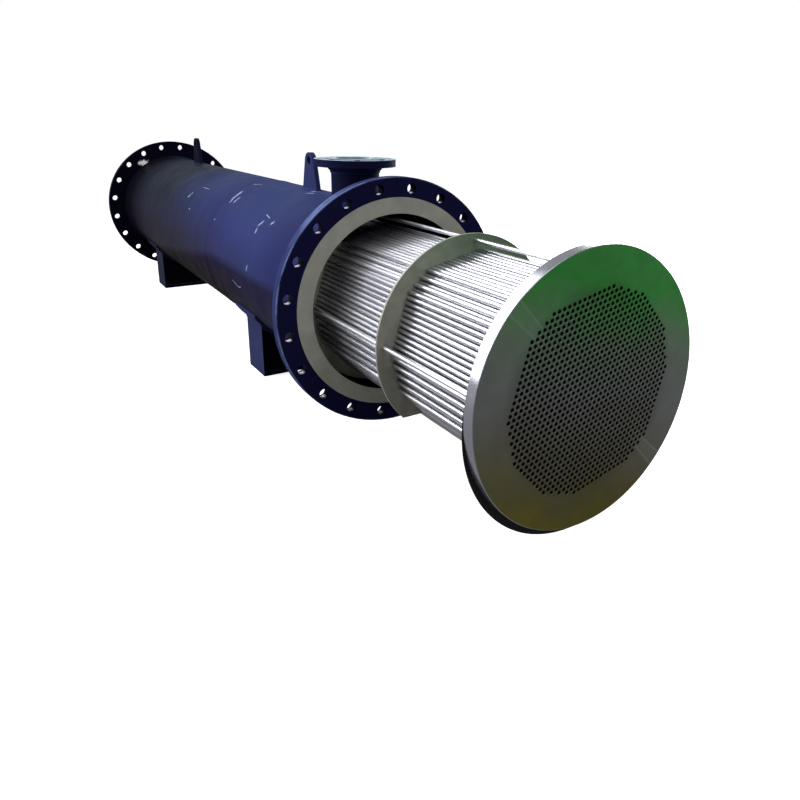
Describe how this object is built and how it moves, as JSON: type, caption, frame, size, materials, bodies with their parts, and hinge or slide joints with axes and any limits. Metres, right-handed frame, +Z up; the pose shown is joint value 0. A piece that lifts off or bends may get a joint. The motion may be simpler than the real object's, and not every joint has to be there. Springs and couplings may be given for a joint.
{
  "type": "shell and tube heat exchanger",
  "caption": "Horizontal shell and tube heat exchanger on two saddles, with a flanged shell, a top nozzle and lifting lugs, and a straight-tube bundle that slides out of the open shell end.",
  "frame": {"origin": "middle of the bounding box, at the level of the saddle feet", "axes": "+X along the shell axis towards the drawn-out bundle, +Z up"},
  "size_m": [3.975, 0.8339, 0.91],
  "materials": {
    "shell_paint": "navy semi-gloss paint",
    "saddle_paint": "dark navy satin paint",
    "tubesheet_steel": "machined",
    "baffle_steel": "rolled sheet with a cut edge",
    "tube_steel": "drawn, bright",
    "gasket": "matt"
  },
  "bodies": {
    "shell": {"shell_barrel": "shell_paint", "front_flange": "shell_paint", "rear_flange": "shell_paint", "nozzle_neck": "shell_paint", "nozzle_flange": "shell_paint", "front_lifting_lug": "shell_paint", "rear_lifting_lug": "shell_paint", "front_saddle_wear_plate": "saddle_paint", "front_saddle_webs": "saddle_paint", "front_saddle_side_plates": "saddle_paint", "front_saddle_base_plate": "saddle_paint", "rear_saddle_wear_plate": "saddle_paint", "rear_saddle_webs": "saddle_paint", "rear_saddle_side_plates": "saddle_paint", "rear_saddle_base_plate": "saddle_paint"},
    "bundle": {"front_tubesheet": "tubesheet_steel", "rear_tubesheet": "tubesheet_steel", "gasket_ring": "gasket", "baffle_1": "baffle_steel", "baffle_2": "baffle_steel", "baffle_3": "baffle_steel", "baffle_4": "baffle_steel", "baffle_5": "baffle_steel", "tie_rod_top": "tube_steel", "tie_rod_left": "tube_steel", "tie_rod_bottom": "tube_steel", "tie_rod_right": "tube_steel", "tubes_top": "tube_steel", "tubes_upper_left": "tube_steel", "tubes_lower_left": "tube_steel", "tubes_bottom": "tube_steel", "tubes_lower_right": "tube_steel", "tubes_upper_right": "tube_steel"}
  },
  "joints": [
    {"name": "bundle_slide", "type": "slide", "parent": "shell", "child": "bundle", "axis": [1, 0, 0], "range_m": [-0.8699, 0.45]}
  ]
}
